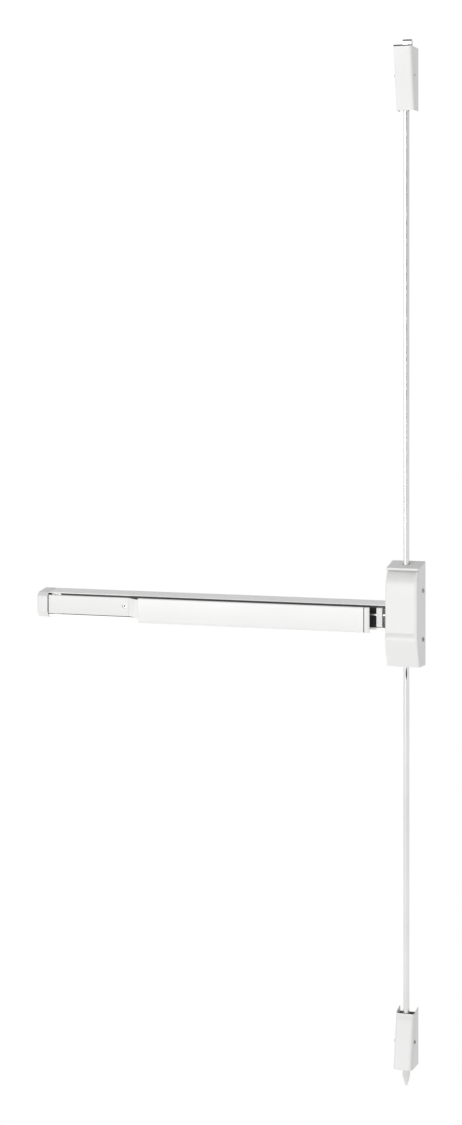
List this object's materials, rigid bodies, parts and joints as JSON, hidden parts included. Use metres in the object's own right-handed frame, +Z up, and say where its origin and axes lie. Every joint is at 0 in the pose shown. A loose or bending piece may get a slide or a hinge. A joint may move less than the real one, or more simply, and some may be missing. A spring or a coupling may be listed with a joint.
{
  "type": "panic exit bar",
  "caption": "Touchbar exit device for one door leaf: a sprung push pad draws a top and a bottom rod through cranks in a centre case to free the latch bolts.",
  "frame": {"origin": "centre of the centre case's back face, on the door's face", "axes": "+X along the bar towards the lock side, +Y into the door, +Z up"},
  "size_m": [0.8504, 0.0624, 2.134],
  "materials": {
    "painted_cover": "fine satin aluminium-grey paint",
    "painted_pad": "fine satin aluminium-grey paint",
    "painted_rod": "satin aluminium-grey paint",
    "black_plastic": "moulded black",
    "steel": "bright steel",
    "screw_steel": "plated steel",
    "spring_steel": "drawn spring wire",
    "zinc_plate": "zinc plated sheet"
  },
  "bodies": {
    "frame": {"base_rail": "painted_cover", "filler_plate": "painted_cover", "short_filler_plate": "painted_cover", "rail_end_cap": "painted_cover", "rail_end_bracket": "zinc_plate", "rail_end_screw": "screw_steel", "drive_bar_guide": "black_plastic", "rail_crank_bracket_left": "zinc_plate", "rail_crank_bracket_right": "zinc_plate", "rail_crank_pin_left": "steel", "rail_crank_pin_right": "steel", "case_chassis": "zinc_plate", "case_cover": "painted_cover", "case_cover_screw_upper_left": "screw_steel", "case_cover_screw_upper_right": "screw_steel", "case_cover_screw_lower_left": "screw_steel", "case_cover_screw_lower_right": "screw_steel", "upper_crank_pin": "steel", "lower_crank_pin": "steel", "upper_slide_guide": "zinc_plate", "lower_slide_guide": "zinc_plate", "case_return_spring": "spring_steel", "top_latch_base": "zinc_plate", "top_latch_cover": "painted_cover", "top_bolt_pin": "steel", "top_cover_screw_left": "screw_steel", "top_cover_screw_right": "screw_steel", "bottom_latch_base": "zinc_plate", "bottom_latch_cover": "painted_cover", "bottom_cover_screw_left": "screw_steel", "bottom_cover_screw_right": "screw_steel", "bottom_bolt_spring": "spring_steel"},
    "pad": {"push_pad": "painted_pad", "pad_end_cap_left": "painted_pad", "pad_end_cap_right": "painted_cover", "pad_foot_left": "black_plastic", "pad_foot_right": "black_plastic"},
    "drive_bar": {"drive_bar": "zinc_plate", "drive_bar_pin_left": "steel", "drive_bar_pin_right": "steel", "drive_pin": "steel"},
    "left_rail_crank": {"rail_crank_left": "zinc_plate"},
    "right_rail_crank": {"rail_crank_right": "zinc_plate"},
    "upper_case_crank": {"upper_case_crank": "zinc_plate"},
    "lower_case_crank": {"lower_case_crank": "zinc_plate"},
    "upper_rod": {"upper_rod": "painted_rod", "upper_rod_stud": "steel", "upper_lock_nut": "zinc_plate", "upper_slide": "zinc_plate", "top_rod_fork": "zinc_plate", "top_fork_pin": "steel"},
    "lower_rod": {"lower_rod": "painted_rod", "lower_rod_stud": "steel", "lower_lock_nut": "zinc_plate", "lower_slide": "zinc_plate", "bottom_bolt": "steel", "bottom_lock_nut": "zinc_plate"},
    "top_bolt": {"top_latch_bolt": "steel"},
    "dogging_key": {"dogging_spindle": "steel"}
  },
  "joints": [
    {"name": "pad_push", "type": "slide", "parent": "frame", "child": "pad", "axis": [0, 1, 0], "range_m": [0, 0.016], "stiffness_N_per_m": 1800, "springref_m": -0.02},
    {"name": "drive_bar_slide", "type": "slide", "parent": "frame", "child": "drive_bar", "axis": [-1, 0, 0], "range_m": [0, 0.0098]},
    {"name": "left_rail_crank_turn", "type": "hinge", "parent": "frame", "child": "left_rail_crank", "pos_m": [-0.47, -0.018, -0.0045], "axis": [0, 0, -1], "range_deg": [0, 28.66]},
    {"name": "right_rail_crank_turn", "type": "hinge", "parent": "frame", "child": "right_rail_crank", "pos_m": [-0.17, -0.018, -0.0045], "axis": [0, 0, -1], "range_deg": [0, 28.66]},
    {"name": "upper_case_crank_turn", "type": "hinge", "parent": "frame", "child": "upper_case_crank", "pos_m": [-0.0195, -0.023, 0.01118], "axis": [0, 1, 0], "range_deg": [0, 34.39]},
    {"name": "lower_case_crank_turn", "type": "hinge", "parent": "frame", "child": "lower_case_crank", "pos_m": [-0.0195, -0.027, -0.02018], "axis": [0, -1, 0], "range_deg": [0, 34.39]},
    {"name": "upper_rod_slide", "type": "slide", "parent": "frame", "child": "upper_rod", "axis": [0, 0, -1], "range_m": [0, 0.01216], "deforming": ["case_return_spring"]},
    {"name": "lower_rod_slide", "type": "slide", "parent": "frame", "child": "lower_rod", "axis": [0, 0, 1], "range_m": [0, 0.01216], "deforming": ["bottom_bolt_spring"]},
    {"name": "top_bolt_swing", "type": "hinge", "parent": "frame", "child": "top_bolt", "pos_m": [0, -0.0105, 1.138], "axis": [1, 0, 0], "range_deg": [0, 50.01]},
    {"name": "dogging_turn", "type": "hinge", "parent": "frame", "child": "dogging_key", "pos_m": [-0.611, -0.03, -0.003], "axis": [0, 1, 0], "range_deg": [0, 90]}
  ],
  "couplings": [
    {"joint": "drive_bar_slide", "follows": "pad_push", "ratio": 0.60644},
    {"joint": "left_rail_crank_turn", "follows": "pad_push", "rad_per_m": 31.25},
    {"joint": "right_rail_crank_turn", "follows": "pad_push", "rad_per_m": 31.25},
    {"joint": "upper_case_crank_turn", "follows": "pad_push", "rad_per_m": 37.5},
    {"joint": "lower_case_crank_turn", "follows": "pad_push", "rad_per_m": 37.5},
    {"joint": "upper_rod_slide", "follows": "pad_push", "ratio": 0.75401},
    {"joint": "lower_rod_slide", "follows": "pad_push", "ratio": 0.75401},
    {"joint": "top_bolt_swing", "follows": "pad_push", "rad_per_m": 54.542}
  ]
}
